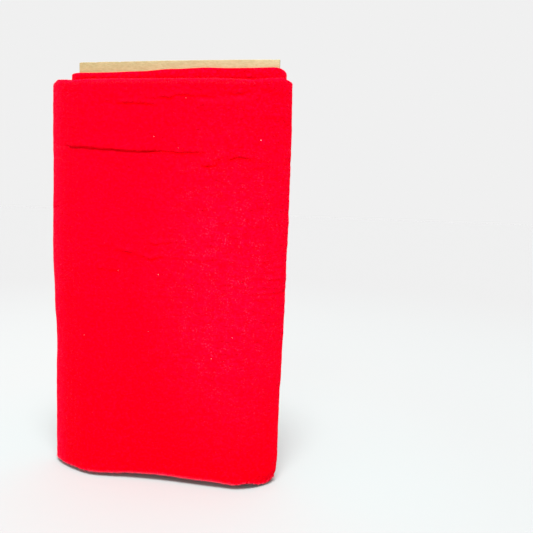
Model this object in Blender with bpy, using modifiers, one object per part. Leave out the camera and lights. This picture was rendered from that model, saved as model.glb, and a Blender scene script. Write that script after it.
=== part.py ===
"""A bolt of flannel: one folded length of cloth, wound flat round a cardboard board and stood on its end.

The cloth is folded lengthwise in four, so each turn is a thick band with a rounded fold at its top. The
board stands up out of the middle. The inner turns stand higher than the outer ones, and the outermost
turn's lower edge hangs a little clear of the surface in front. Sizes here are in millimetres, with X
along the face, Y through the bolt (the front is towards -Y) and Z up from the surface.
"""

import math
from collections import namedtuple

import bmesh
import bpy

MM = 0.001

# Board
BOARD_WIDTH = 203.2
BOARD_THICK = 4.0
BOARD_HEIGHT = 421.0
BOARD_X = 8.1
BOARD_CORNER = 0.6
BOARD_CLEARANCE = 0.35

# Cloth: one row for each face between the turns, from the outside in, and the slot that holds the board.
# Fullness is how full its ends are: 0.55 is a true oval, and less is leaner, as of cloth pulled round a board
Wrap = namedtuple("Wrap", "left right half_depth left_round right_round fullness")
SLOT = Wrap(
    left=BOARD_X - BOARD_WIDTH / 2 - 3 * BOARD_CLEARANCE,
    right=BOARD_X + BOARD_WIDTH / 2 + 3 * BOARD_CLEARANCE,
    half_depth=BOARD_THICK / 2 + BOARD_CLEARANCE,
    left_round=3 * BOARD_CLEARANCE,
    right_round=3 * BOARD_CLEARANCE,
    fullness=0.55,
)
WRAPS = (
    Wrap(left=-121.5, right=121.5, half_depth=26.0, left_round=52, right_round=38, fullness=0.36),
    Wrap(left=-112.0, right=118.4, half_depth=20.6, left_round=42, right_round=31, fullness=0.40),
    Wrap(left=-101.0, right=116.0, half_depth=15.0, left_round=20, right_round=16, fullness=0.50),
    Wrap(left=-97.4, right=113.0, half_depth=8.7, left_round=10, right_round=9, fullness=0.55),
    SLOT,
)
INNER_TURNS_FROM = 2

# Edges of the cloth: height along the front, for the outer turns' top, the inner turns' top and the foot
Edge = namedtuple("Edge", "x height")
OUTER_TOP = (
    Edge(-122, 396.0), Edge(-108, 397.4), Edge(-100, 399.0), Edge(-93, 397.7), Edge(-40, 398.7),
    Edge(48, 398.8), Edge(78, 397.7), Edge(86, 396.8), Edge(99, 398.3), Edge(122, 397.6),
)
INNER_TOP = (
    Edge(-101, 406.0), Edge(-75, 407.1), Edge(-21, 408.1), Edge(8, 410.2), Edge(45, 411.2),
    Edge(73, 410.6), Edge(108, 411.3), Edge(116, 409.8),
)
FOOT = (
    Edge(-122, 0.0), Edge(-106, 1.2), Edge(-84, 4.6), Edge(-56, 4.4), Edge(-23, 5.6),
    Edge(38, 6.2), Edge(64, 5.6), Edge(88, 6.2), Edge(108, 6.8), Edge(122, 4.5),
)
OUTER_TOP_BEHIND = 397.4
INNER_TOP_BEHIND = 408.6

# How the side edges wander in and out with height: the cloth isn't pulled evenly round the board
Side = namedtuple("Side", "height left_out right_out")
SIDES = (
    Side(0, 0.0, -1.7), Side(80, -0.3, -1.5), Side(140, -1.4, -0.6), Side(180, 0.3, 0.0),
    Side(225, 1.3, 0.6), Side(270, 0.9, 1.0), Side(340, 0.1, 1.1), Side(398, -0.7, 0.2),
)

# Soft swells and hollows of the front face
Swell = namedtuple("Swell", "x height half_width half_height out")
SWELLS = (
    Swell(x=-62, height=0, half_width=24, half_height=70, out=3.2),
    Swell(x=5, height=0, half_width=38, half_height=55, out=-1.4),
    Swell(x=60, height=215, half_width=60, half_height=130, out=1.6),
    Swell(x=-60, height=366, half_width=55, half_height=20, out=0.9),
)

# The long crease across the front, a soft trough that fades towards the right
Crease = namedtuple("Crease", "x height depth")
CREASE = (
    Crease(-112, 335.6, 0.0), Crease(-100, 335.0, 2.0), Crease(-60, 333.0, 2.2), Crease(-4, 331.5, 1.7),
    Crease(30, 331.0, 1.2), Crease(46, 322.2, 0.8), Crease(74, 330.0, 0.8), Crease(100, 324.6, 0.6),
    Crease(116, 324.6, 0.0),
)
CREASE_HEIGHT = 331.0
CREASE_HALF_WIDTH = 3.6
CREASE_REACH = 24.0

# The cloth's cut end, a step of one turn's thickness on the back
CLOTH_END_X = 38.0
CLOTH_END_STEP = 4.2
CLOTH_END_RUN = 1.2

# Rings of the solid. Depth counts turns inwards from the outer face: 0 is the face, 4 the slot
Ring = namedtuple("Ring", "depth edge drop")
WALL_HEIGHTS = (
    10, 24, 44, 70, 100, 132, 164, 196, 226, 254, 278, 296, 309, 318, 324, 328, 331, 334, 338,
    345, 355, 366, 378, 389,
)
HEM_RINGS = (
    Ring(0.0, "outer", 2.4), Ring(0.13, "outer", 0.7), Ring(0.42, "outer", 0.0), Ring(0.72, "outer", 0.8),
    Ring(0.93, "outer", 3.6), Ring(1.06, "outer", 4.4), Ring(1.25, "outer", 2.2), Ring(1.55, "outer", 1.4),
    Ring(1.82, "outer", 2.4), Ring(2.0, "outer", 6.5), Ring(2.0, "inner", 2.4), Ring(2.14, "inner", 0.7),
    Ring(2.45, "inner", 0.0), Ring(2.75, "inner", 0.8), Ring(2.95, "inner", 3.8), Ring(3.07, "inner", 3.9),
    Ring(3.3, "inner", 1.2), Ring(3.6, "inner", 0.5), Ring(3.86, "inner", 1.6), Ring(4.0, "inner", 4.2),
)
FOOT_RINGS = (
    Ring(4.0, "floor", 0.0), Ring(1.22, "floor", 0.0), Ring(1.02, "foot", -1.6), Ring(0.85, "foot", -0.7),
    Ring(0.45, "foot", 0.0), Ring(0.13, "foot", -0.5), Ring(0.0, "foot", -2.2),
)

# Points round a ring, for each stretch of it
FRONT_STEPS = 30
END_STEPS = 12
BACK_RIGHT_STEPS = 6
BACK_LEFT_STEPS = 14

CLOTH_RED = (0.82, 0.0, 0.018, 1.0)
CARD_TAN = (0.72, 0.51, 0.28, 1.0)


def smooth(t):
    t = min(max(t, 0.0), 1.0)
    return t * t * (3 - 2 * t)


def along(rows, x):
    """The values of a table at x, eased from row to row; the first column is the place."""
    if x <= rows[0][0]:
        return rows[0][1:]
    for low, high in zip(rows, rows[1:]):
        if x <= high[0]:
            t = smooth((x - low[0]) / (high[0] - low[0]))
            return tuple(a + (b - a) * t for a, b in zip(low[1:], high[1:]))
    return rows[-1][1:]


def wrap_at(depth):
    """The outline between two rows of WRAPS, for a depth counted in turns."""
    row = min(int(depth), len(WRAPS) - 2)
    part = depth - row
    return Wrap(*(a + (b - a) * part for a, b in zip(WRAPS[row], WRAPS[row + 1])))


def bezier(a, b, c, d, t):
    s = 1 - t
    return a * s ** 3 + 3 * b * s * s * t + 3 * c * s * t * t + d * t ** 3


def rounded_end(wrap, side, turn):
    """A point of a wound end, for a turn from -1, the front face, over 0, the tip, to 1, the back."""
    reach = wrap.left_round if side < 0 else wrap.right_round
    edge = wrap.left if side < 0 else wrap.right
    t = 1 - abs(turn)
    x = edge - side * reach + side * reach * bezier(0, wrap.fullness, 1, 1, t)
    y = math.copysign(wrap.half_depth * bezier(1, 1, wrap.fullness, 0, t), turn)
    return x, y


def outline(wrap):
    """Points round a wrap seen from above: front, right end, back to the cloth's end, and on to the left end."""
    low, high = wrap.left + wrap.left_round, wrap.right - wrap.right_round
    half = wrap.half_depth
    points = []
    for i in range(FRONT_STEPS):
        points.append((low + (high - low) * i / FRONT_STEPS, -half))
    for i in range(END_STEPS):
        points.append(rounded_end(wrap, 1, 2 * i / END_STEPS - 1))
    step_from = CLOTH_END_X + CLOTH_END_RUN
    for i in range(BACK_RIGHT_STEPS):
        points.append((high + (step_from - high) * i / (BACK_RIGHT_STEPS - 1), half))
    for i in range(BACK_LEFT_STEPS):
        points.append((CLOTH_END_X + (low - CLOTH_END_X) * i / BACK_LEFT_STEPS, half))
    for i in range(END_STEPS):
        points.append(rounded_end(wrap, -1, 1 - 2 * i / END_STEPS))
    return points


def front_share(y, half):
    """1 on the front face, 0 on the back, eased round the ends."""
    return smooth(0.5 - y / (2 * half))


def edge_height(edge, x, front):
    """The height of one of the cloth's edges at a place round the bolt."""
    if edge == "floor":
        return 0.0
    table, behind = {
        "outer": (OUTER_TOP, OUTER_TOP_BEHIND),
        "inner": (INNER_TOP, INNER_TOP_BEHIND),
        "foot": (FOOT, 0.0),
    }[edge]
    return behind + (along(table, x)[0] - behind) * front


def bell(distance, half_width):
    return math.exp(-((distance / half_width) ** 2))


def front_relief(x, z):
    """How far the front face stands out of its plane at x and z."""
    out = sum(s.out * bell(x - s.x, s.half_width) * bell(z - s.height, s.half_height) for s in SWELLS)
    crease_height, crease_depth = along(CREASE, x)
    return out - crease_depth * bell(z - crease_height, CREASE_HALF_WIDTH)


def cloth_point(depth, wrap, x, y, z):
    """Moves a point of a plain ring to where the uneven cloth has it."""
    outer = max(0.0, 1 - depth / INNER_TURNS_FROM)
    left_out, right_out = along(SIDES, z)
    middle = (wrap.left + wrap.right) / 2
    sideways = smooth(abs(x - middle) / (wrap.right - middle))
    front = front_share(y, wrap.half_depth)
    moved_x = x + outer * sideways * (right_out if x > middle else -left_out)
    moved_y = y - outer * front * front_relief(x, z)
    if y > 0:
        past_end = smooth((x - CLOTH_END_X) / CLOTH_END_RUN)
        moved_y -= max(0.0, 1 - depth) * CLOTH_END_STEP * past_end * y / wrap.half_depth
    return moved_x * MM, moved_y * MM, z * MM


def hem_ring(ring):
    """One ring of the folded edges: a height below the edge's own wavy line."""
    wrap = wrap_at(ring.depth)
    points = []
    for x, y in outline(wrap):
        z = max(0.0, edge_height(ring.edge, x, front_share(y, wrap.half_depth)) - ring.drop)
        points.append(cloth_point(ring.depth, wrap, x, y, z))
    return points


def wall_ring(height):
    """One ring of the outer face. Near the crease the ring follows the crease's line across the front."""
    wrap = WRAPS[0]
    points = []
    for x, y in outline(wrap):
        bend = (along(CREASE, x)[0] - CREASE_HEIGHT) * bell(height - CREASE_HEIGHT, CREASE_REACH)
        points.append(cloth_point(0, wrap, x, y, height + front_share(y, wrap.half_depth) * bend))
    return points


def new_material(name, color, roughness, sheen=0.0):
    material = bpy.data.materials.new(name)
    material.use_nodes = True
    shader = material.node_tree.nodes["Principled BSDF"]
    shader.inputs["Base Color"].default_value = color
    shader.inputs["Roughness"].default_value = roughness
    shader.inputs["Metallic"].default_value = 0.0
    shader.inputs["Sheen Weight"].default_value = sheen
    return material


def make_roll(collection):
    """The wound cloth: rings lofted up the outer face, in over the folded edges, and down the board's slot."""
    rings = [wall_ring(height) for height in WALL_HEIGHTS]
    rings += [hem_ring(ring) for ring in HEM_RINGS]
    rings += [hem_ring(ring) for ring in FOOT_RINGS]
    shape = bmesh.new()
    rows = [[shape.verts.new(point) for point in ring] for ring in rings]
    around = len(rows[0])
    for low, high in zip(rows, rows[1:] + rows[:1]):
        for i in range(around):
            j = (i + 1) % around
            shape.faces.new((low[i], low[j], high[j], high[i]))
    bmesh.ops.recalc_face_normals(shape, faces=shape.faces)
    mesh = bpy.data.meshes.new("roll")
    shape.to_mesh(mesh)
    shape.free()
    mesh.shade_smooth()
    mesh.materials.append(new_material("red flannel", CLOTH_RED, 0.95, sheen=0.4))
    roll = bpy.data.objects.new("roll", mesh)
    collection.objects.link(roll)
    return roll


def make_board(collection):
    """The board: a flat card with slightly soft corners."""
    shape = bmesh.new()
    bmesh.ops.create_cube(shape, size=1)
    bmesh.ops.scale(shape, verts=shape.verts, vec=(BOARD_WIDTH * MM, BOARD_THICK * MM, BOARD_HEIGHT * MM))
    mesh = bpy.data.meshes.new("board")
    shape.to_mesh(mesh)
    shape.free()
    mesh.materials.append(new_material("cardboard", CARD_TAN, 0.85))
    board = bpy.data.objects.new("board", mesh)
    board.location = (BOARD_X * MM, 0, BOARD_HEIGHT * MM / 2)
    bevel = board.modifiers.new("soft corners", "BEVEL")
    bevel.width = BOARD_CORNER * MM
    bevel.segments = 2
    collection.objects.link(board)
    return board


def centre_on_origin(roll, board):
    """Puts the origin under the middle of the wound cloth, which is wider and deeper than the board."""
    xs = [v.co.x for v in roll.data.vertices]
    ys = [v.co.y for v in roll.data.vertices]
    shift = (-(min(xs) + max(xs)) / 2, -(min(ys) + max(ys)) / 2, 0)
    for piece in (roll, board):
        piece.location = [a + b for a, b in zip(piece.location, shift)]


def main():
    for thing in list(bpy.data.objects):
        bpy.data.objects.remove(thing, do_unlink=True)
    collection = bpy.data.collections.new("flannel bolt")
    bpy.context.scene.collection.children.link(collection)
    roll = make_roll(collection)
    board = make_board(collection)
    centre_on_origin(roll, board)


main()
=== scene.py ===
# %% [markdown]
# # A bolt of red flannel on its board
# A bolt is one long piece of cloth, folded lengthwise so that it is narrow enough to handle, and wound flat
# round a stiff board. This one stands on its end. It could be modelled as one soft block with a fabric
# finish, but a block has no plies and no cut edges. So the solids of the board and of the wound cloth are
# loaded first, only to fix every size, and the lesson makes the sheet of cloth, its folds and its nap.

# %% Load the solids
import math

import bmesh
import bpy
import numpy as np
from mathutils import Matrix, Vector, noise
from mathutils.bvhtree import BVHTree


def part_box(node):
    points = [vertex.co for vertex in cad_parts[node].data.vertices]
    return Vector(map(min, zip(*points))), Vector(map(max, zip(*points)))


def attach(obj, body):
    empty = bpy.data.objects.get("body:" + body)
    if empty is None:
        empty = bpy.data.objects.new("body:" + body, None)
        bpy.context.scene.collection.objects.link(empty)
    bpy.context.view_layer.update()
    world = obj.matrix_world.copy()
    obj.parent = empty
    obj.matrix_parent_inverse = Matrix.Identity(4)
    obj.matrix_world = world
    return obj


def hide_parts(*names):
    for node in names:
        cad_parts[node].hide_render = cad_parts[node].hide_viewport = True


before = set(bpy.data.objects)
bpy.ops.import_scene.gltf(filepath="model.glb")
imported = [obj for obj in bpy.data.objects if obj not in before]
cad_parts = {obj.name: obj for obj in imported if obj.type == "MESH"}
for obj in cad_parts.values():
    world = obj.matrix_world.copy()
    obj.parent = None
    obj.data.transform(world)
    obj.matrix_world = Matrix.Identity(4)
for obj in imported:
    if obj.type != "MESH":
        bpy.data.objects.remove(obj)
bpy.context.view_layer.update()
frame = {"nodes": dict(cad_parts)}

print("solids:", ", ".join(frame["nodes"]))

# %% [markdown]
# ## Measuring from the middle of the cloth
# A draper thinks in millimetres across the face and up from the floor, while Blender measures in metres from
# the middle of the scene. Every place could be written in scene metres, but then all of them would change
# with the solids. Here they are written the draper's way, and one function turns them into scene places. The
# board is a little right of the cloth's middle, and its solid says where that middle is in the scene.

# %% The middle of the cloth
MM = 0.001
BOARD_X = 8.1
board_low, board_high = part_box("board")
BOARD_WIDTH, BOARD_THICK, BOARD_HEIGHT = ((board_high - board_low) / MM)
middle = (board_low + board_high) / 2 - Vector((BOARD_X * MM, 0, 0))
middle.z = 0.0
print("middle of the cloth, mm:", [round(value / MM, 2) for value in middle])


def to_scene(points):
    """Points in millimetres from the middle of the cloth, as scene points in metres."""
    return np.asarray(points, float) * MM + np.array(middle)


# %% [markdown]
# ## The camera
# The bolt is seen from the right of its face and a little above its middle, tipped slightly down and not
# quite level. A camera could be aimed at the bolt by a constraint, which would always hold it level, so its
# three angles are set instead. Its place is measured from the cloth's middle, so it frames the bolt the same
# way wherever the solids put it. The lens is about as long as the sensor is wide.

# %% Camera
EYE = Vector((182.8, -521.7, 283.6))
EYE_TURN, EYE_TIP, EYE_ROLL = math.radians(8.68), math.radians(6.49), math.radians(1.9)
PICTURE_WIDTH = 533
FOCAL_PIXELS = 534


def add_object(name, data):
    """A new object in the scene, made of a mesh, a light or a camera."""
    made = bpy.data.objects.new(name, data)
    bpy.context.scene.collection.objects.link(made)
    return made


lens = bpy.data.cameras.new("camera")
lens.sensor_width = 36
lens.lens = lens.sensor_width * FOCAL_PIXELS / PICTURE_WIDTH
lens.clip_start = 0.01
camera = add_object("camera", lens)
aim = Matrix.Rotation(EYE_TURN, 4, "Z") @ Matrix.Rotation(math.pi / 2 - EYE_TIP, 4, "X")
camera.matrix_world = Matrix.Translation(EYE * MM + middle) @ aim @ Matrix.Rotation(EYE_ROLL, 4, "Z")
bpy.context.scene.camera = camera
print("lens, mm:", round(lens.lens, 2))

# %% [markdown]
# ## Soft light from above
# Broad light that falls steeply catches every lip and crinkle of the face, and leaves a thin dark line on
# the floor under the hem that hangs clear of it. Lamps close by could do it, but the bolt's top would then
# be brighter than its foot. A sun lights every height alike, and a wide sun gives soft edges to the shadows.

# %% Lights
def add_sun(name, strength, height, turn, softness):
    """A soft far light. Height and turn are in degrees: 0 turn comes from the front, minus from the left."""
    light = bpy.data.lights.new(name, "SUN")
    light.energy = strength
    light.angle = math.radians(softness)
    add_object(name, light).rotation_euler = (math.radians(90 - height), 0, math.radians(turn))
    print(name, "at", height, "degrees up")


add_sun("overhead light", 4.2, height=70, turn=14, softness=24)
add_sun("front light", 0.5, height=25, turn=4, softness=40)

# %% [markdown]
# ## Helpers for node networks
# The surround and every finish are networks of nodes. Adding each node and link by hand takes three or four
# lines, and hides what the network does. A small class does it in one: it makes a node and fills its
# sockets, blends two colours, stretches a value, or makes noise with blotches of a known size.

# %% Network helpers
class Network:
    """A network of nodes, with short ways to add and join them."""

    def __init__(self, tree):
        self.tree = tree

    def join(self, value, socket):
        """A node's output goes in by a link, and a plain number or colour is set on the socket."""
        if isinstance(value, bpy.types.NodeSocket):
            self.tree.links.new(value, socket)
        else:
            socket.default_value = value

    def node(self, kind, out=0, settings=None, **inputs):
        """One output of a new node. Sockets are filled by name, or by number where names repeat, as in _0."""
        made = self.tree.nodes.new("ShaderNode" + kind)
        for key, value in (settings or {}).items():
            setattr(made, key, value)
        for key, value in inputs.items():
            socket = int(key[1:]) if key[1:].isdigit() else key.replace("_", " ")
            self.join(value, made.inputs[socket])
        return made.outputs[out]

    def part(self, place, axis):
        """One number of a place: 0 is across, 1 into the depth and 2 up."""
        return self.node("SeparateXYZ", out=axis, Vector=place)

    def blend(self, share, low, high):
        """A colour between two, by a share from 0 to 1."""
        return self.node("Mix", out=2, settings={"data_type": "RGBA"}, _0=share, _6=low, _7=high)

    def ramp(self, value, low, high, eased=False):
        """A value stretched so that low becomes 0 and high becomes 1."""
        settings = {"clamp": True, "interpolation_type": "SMOOTHSTEP" if eased else "LINEAR"}
        return self.node("MapRange", settings=settings, Value=value, From_Min=low, From_Max=high)

    def noise(self, place, size, detail=2.0, stretch=(1, 1, 1)):
        """Cloudy noise with blotches about size metres across, longer where stretch is over 1."""
        scale = tuple(1 / (size * s) for s in stretch)
        spread = self.node("Mapping", Vector=place, Scale=scale)
        return self.node("TexNoise", Vector=spread, Scale=1.0, Detail=detail, Roughness=0.6)

    def math(self, action, first, second=0.0):
        return self.node("Math", settings={"operation": action}, _0=first, _1=second)

    def times(self, first, second):
        return self.math("MULTIPLY", first, second)

    def plus(self, first, second):
        return self.math("ADD", first, second)

    def larger(self, first, second):
        return self.math("MAXIMUM", first, second)

    def length(self, place):
        return self.node("VectorMath", out=1, settings={"operation": "LENGTH"}, _0=place)

    def bump(self, height, distance, strength, under=None):
        """A bumped surface, distance metres high where the height is 1, laid over the one under it."""
        below = {} if under is None else {"Normal": under}
        return self.node("Bump", Height=height, Distance=distance, Strength=strength, **below)


print("network helpers:", ", ".join(name for name in vars(Network) if not name.startswith("_")))

# %% [markdown]
# ## The surround
# Light also reaches the bolt from all round, and more from overhead than from eye level. A picture of a sky
# or a studio could light it, but would show behind it. A blend of two greys by height gives the same soft
# light, and the camera sees one even tone in its place, so the backdrop stays plain. The picture is shown
# without a film curve, so that the red stays pure.

# %% Surround
SURROUND_SEEN = (0.872, 0.872, 0.872, 1)
SURROUND_LOW, SURROUND_HIGH = (0.46, 0.46, 0.465, 1), (1.0, 1.0, 1.0, 1)
GENERATED = 0
SEEN_BY_CAMERA = 0

surround = bpy.data.worlds.new("pale surround")
surround.use_nodes = True
surround.node_tree.nodes.clear()
network = Network(surround.node_tree)
upwards = network.part(network.node("TexCoord", out=GENERATED), 2)
lit = network.node("Background", Color=network.blend(upwards, SURROUND_LOW, SURROUND_HIGH))
seen = network.node("Background", Color=SURROUND_SEEN)
shown = network.node("MixShader", _0=network.node("LightPath", out=SEEN_BY_CAMERA), _1=lit, _2=seen)
network.join(shown, surround.node_tree.nodes.new("ShaderNodeOutputWorld").inputs["Surface"])
bpy.context.scene.world = surround
bpy.context.scene.view_settings.view_transform = "Standard"
print("surround:", surround.name, "with", len(surround.node_tree.nodes), "nodes")

# %% [markdown]
# ## One finish
# A finish is a material: a network that ends in one Principled shader. What changes over the surface comes
# from nodes, and what is the same all over is set on the shader's own socket. Brushed cotton has no gloss of
# its own, so the specular level starts at nothing.

# %% Finish
OBJECT_PLACE = 3


class Finish(Network):
    """One material, as a network that ends in one Principled shader."""

    def __init__(self, name, roughness, specular=0.0):
        self.material = bpy.data.materials.new(name)
        self.material.use_nodes = True
        super().__init__(self.material.node_tree)
        self.shader = self.tree.nodes["Principled BSDF"]
        self.shade(Roughness=roughness, Specular_IOR_Level=specular)

    def shade(self, **inputs):
        for key, value in inputs.items():
            self.join(value, self.shader.inputs[key.replace("_", " ")])

    def place(self):
        """The place on the piece, in metres of the scene."""
        return self.node("TexCoord", out=OBJECT_PLACE)


print("finish helpers:", ", ".join(name for name in vars(Finish) if not name.startswith("_")))

# %% [markdown]
# ## The flannel's finish
# Flannel is a plain weave of soft cotton, brushed until a short nap hides most of the threads. From a step
# away it is an even, matt colour with a fine grain. Right of the face's middle a pink sheen with pale glints
# is a painted highlight, and so is a paler rim on the left end and along the fold edges. Low down the red is
# deeper as painted shade, and creases and folds get painted shade too. A painted picture could hold all that
# at one size only. Node patterns stay sharp at any distance, so each of these marks is a noise or a ramp of
# its own, and their reds are listed first.

# %% Flannel colours
# Painted shade: the red is deeper low down, for the lesser light there.
RED_SHADED_LOW = (0.93, 0.0, 0.0060, 1)
RED_PLAIN = (0.97, 0.0, 0.0142, 1)
# Painted highlight: a pink sheen on the nap, right of the face's middle.
RED_SHEEN_HIGHLIGHT = (0.99, 0.0005, 0.0255, 1)
# Painted highlight: a paler sheen along the rounded left end.
RED_RIM_SHEEN = (1.0, 0.001, 0.028, 1)
# Painted highlight: a pale rim on the top fold and along the foot.
RED_EDGE_HIGHLIGHT = (1.0, 0.003, 0.042, 1)
RED_DEEP = (0.86, 0.0, 0.0085, 1)
RED_TUFT = (1.0, 0.0015, 0.036, 1)
# Painted glints: pale specks in the painted sheen.
RED_GLINT = (1.0, 0.03, 0.10, 1)
# Dark red for the dark tufts, and painted shade in the creases and folds.
RED_MOTTLE_AND_CREASE_SHADE = (0.86, 0.0, 0.0024, 1)
# Painted shadow deep in the pinch's groove.
RED_GROOVE_SHADOW = (0.50, 0.0, 0.0010, 1)
FUZZ_TINT = (1.0, 0.06, 0.2, 1)
# Each pair says where a zone of the cloth starts and where it is full, in scene metres.
LOW_TO_PLAIN = (20 * MM, 260 * MM)
LEFT_END_SHEEN = (-99 * MM, -120 * MM)
HANDLED_ACROSS = (0.0, 200 * MM)
HANDLED_UP = (190 * MM, 330 * MM)
TOP_FOLDS = (400.5 * MM, 403 * MM)
SHEEN_CENTRE = (69 * MM, -26 * MM, 208 * MM)
SHEEN_REACH = (100 * MM, 200 * MM, 216 * MM)
# The rubbed zone here is the painted sheen, a highlight painted on the nap.
print("reaches of the rubbed zone, mm:", [round(reach / MM) for reach in SHEEN_REACH])


# %% Zones and colour of the flannel
def painted_sheen_share(f, solid):
    """1 in the middle of the painted sheen, a pink highlight on the nap, and 0 outside it."""
    scale = [1 / reach for reach in SHEEN_REACH]
    shift = [-centre / reach for centre, reach in zip(SHEEN_CENTRE, SHEEN_REACH)]
    away = f.length(f.node("Mapping", Vector=solid, Location=shift, Scale=scale))
    return f.ramp(away, 1.0, 0.0, eased=True)


def handled_share(f, solid):
    """1 where the cloth is puckered from handling: high on the right, and on the upper folds."""
    height = f.part(solid, 2)
    high_right = f.times(f.ramp(f.part(solid, 0), *HANDLED_ACROSS), f.ramp(height, *HANDLED_UP))
    return f.larger(high_right, f.ramp(height, *TOP_FOLDS))


def glint_share(f, solid, painted_sheen):
    """1 on the pale specks, painted glints that come in patches of the painted sheen."""
    patches = f.times(f.ramp(f.noise(solid, 0.012, detail=1.0), 0.42, 0.62), painted_sheen)
    return f.times(f.ramp(f.noise(solid, 0.0013, detail=1.0), 0.60, 0.72), patches)


def flannel_red(f, solid, painted_light, clumps, painted_sheen, handled):
    """The colour: painted shade low down and in folds, painted highlights for the sheen, glints and rims, and
    real tone and tufts.
    """
    # Painted shade: darker towards the bottom of the face.
    red = f.blend(f.ramp(f.part(solid, 2), *LOW_TO_PLAIN), RED_SHADED_LOW, RED_PLAIN)
    # Painted highlight: the pink sheen.
    red = f.blend(painted_sheen, red, RED_SHEEN_HIGHLIGHT)
    # Painted highlight on the left end.
    red = f.blend(f.ramp(f.part(solid, 0), *LEFT_END_SHEEN), red, RED_RIM_SHEEN)
    # Painted highlight where the painted light is below 0: the top fold and the foot.
    red = f.blend(f.ramp(painted_light, 0.0, -1.0), red, RED_EDGE_HIGHLIGHT)
    tone = f.plus(f.times(clumps, 0.6), f.times(f.noise(solid, 0.045, detail=3.0), 0.4))
    red = f.blend(f.times(f.ramp(tone, 0.56, 0.36), 0.6), red, RED_DEEP)
    tufts = f.noise(solid, 0.0024, detail=2.0)
    dark_share = f.plus(f.times(handled, 0.30), 0.42)
    # More pale tufts in the painted sheen and where the cloth is handled.
    pale_share = f.plus(f.times(f.larger(painted_sheen, handled), 0.55), 0.35)
    red = f.blend(f.times(f.ramp(tufts, 0.50, 0.30), dark_share), red, RED_MOTTLE_AND_CREASE_SHADE)
    red = f.blend(f.times(f.ramp(tufts, 0.50, 0.70), pale_share), red, RED_TUFT)
    # Painted glints in the painted sheen.
    red = f.blend(glint_share(f, solid, painted_sheen), red, RED_GLINT)
    # Painted shade in creases, folds and between the turns.
    red = f.blend(painted_light, red, RED_MOTTLE_AND_CREASE_SHADE)
    # Painted shadow in the pinch's groove.
    return f.blend(f.ramp(painted_light, 0.9, 1.7), red, RED_GROOVE_SHADOW)

# %% [markdown]
# ## The flannel's surface
# The grain of flannel is two sets of threads under clumps of nap, with thicker threads here and there. All
# of it is far finer than the mesh, so it is bump in the finish, laid in five layers from the threads up to
# the small puckers. Only creases that change the outline or throw a shadow are real shape, further on.
# Sheen, the light that a fuzzy surface sends back at its edges, gives the folds their soft rim.

# %% Flannel
THREAD_PITCH = 0.00062


def thread_waves(f, place, axis):
    """The ridges of one set of threads, from 0 between threads to 1 on their tops."""
    waves = f.math("SINE", f.times(f.part(place, axis), 2 * math.pi / THREAD_PITCH))
    return f.ramp(waves, -1.0, 1.0)


def flannel_bumps(f, place, solid, clumps, rubbed):
    """The surface's relief in five layers: threads, slubs, clumps of nap, single tufts and puckers."""
    weave = f.times(thread_waves(f, place, 0), thread_waves(f, place, 1))
    slubs = f.noise(place, 0.0024, detail=3.0, stretch=(0.9, 3.4, 1))
    picks = f.noise(place, 0.0024, detail=3.0, stretch=(3.4, 0.9, 1))
    nap = f.noise(solid, 0.0019, detail=4.0)
    pucker = f.noise(place, 0.0062, detail=2.0, stretch=(1.9, 0.9, 1))
    # Puckers are stronger in the painted sheen and where the cloth is handled.
    puckered = f.times(pucker, f.plus(f.times(rubbed, 0.75), 0.4))
    surface = f.bump(weave, distance=0.00018, strength=0.35)
    surface = f.bump(f.plus(slubs, picks), distance=0.0008, strength=0.55, under=surface)
    surface = f.bump(clumps, distance=0.0022, strength=0.65, under=surface)
    surface = f.bump(nap, distance=0.0009, strength=0.8, under=surface)
    return f.bump(puckered, distance=0.0026, strength=0.6, under=surface)


def make_flannel():
    f = Finish("red flannel", roughness=0.92)
    place = f.node("Attribute", out=1, settings={"attribute_name": "cloth_place"})
    # Painted light from the mesh: painted shade above 0, painted highlight below 0.
    painted_light = f.node("Attribute", out=2, settings={"attribute_name": "cloth_painted_light"})
    solid = f.place()
    clumps = f.noise(solid, 0.0040, detail=3.0, stretch=(1.2, 1.2, 1))
    painted_sheen, handled = painted_sheen_share(f, solid), handled_share(f, solid)
    red = flannel_red(f, solid, painted_light, clumps, painted_sheen, handled)
    surface = flannel_bumps(f, place, solid, clumps, f.larger(painted_sheen, handled))
    f.shade(Base_Color=red, Normal=surface)
    f.shade(Sheen_Weight=0.32, Sheen_Roughness=0.2, Sheen_Tint=FUZZ_TINT)
    return f.material


flannel = make_flannel()
print("finish:", flannel.name, "with", len(flannel.node_tree.nodes), "nodes")

# %% [markdown]
# ## The wound outline
# Seen from above, every turn of cloth is a flat oval: straight front and back, and lean rounded ends where
# the cloth is pulled round the board. A curve object could be drawn for each turn, but the cloth has to
# slide from one turn to the next. So one table holds the oval for the face of each turn, from the outside
# in, and any oval between two of them can be asked for. A place on an oval is counted in stretches: 0 to 1
# runs along the back from the cloth's cut end to the left, 1 to 2 round the left end, 2 to 3 across the
# front, 3 to 4 round the right end, and 4 to 5 back.

# %% Ovals
#    left, right, half depth, left round, right round, fullness of the ends
OVALS = np.array([
    [-122.1, 122.3, 26.0, 50.0, 38.0, 0.38],
    [-112.0, 119.0, 20.6, 42.0, 31.0, 0.40],
    [-101.0, 116.4, 15.0, 20.0, 12.0, 0.56],
    [-97.4, 113.0, 8.7, 10.0, 9.0, 0.55],
    [BOARD_X - BOARD_WIDTH / 2 - 1, BOARD_X + BOARD_WIDTH / 2 + 1, BOARD_THICK / 2 + 0.35, 1, 1, 0.55],
])
TURNS = len(OVALS) - 1
CUT_END_X = 38.0


def smooth(t):
    """0 below 0, 1 above 1, and an eased step between."""
    t = np.clip(t, 0, 1)
    return t * t * (3 - 2 * t)


def eased(value, start, full):
    """0 at the start of a zone, 1 where it is full, and an eased step between."""
    return smooth((value - start) / (full - start))


def bezier(a, b, c, d, t):
    s = 1 - t
    return a * s ** 3 + 3 * b * s * s * t + 3 * c * s * t * t + d * t ** 3


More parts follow.
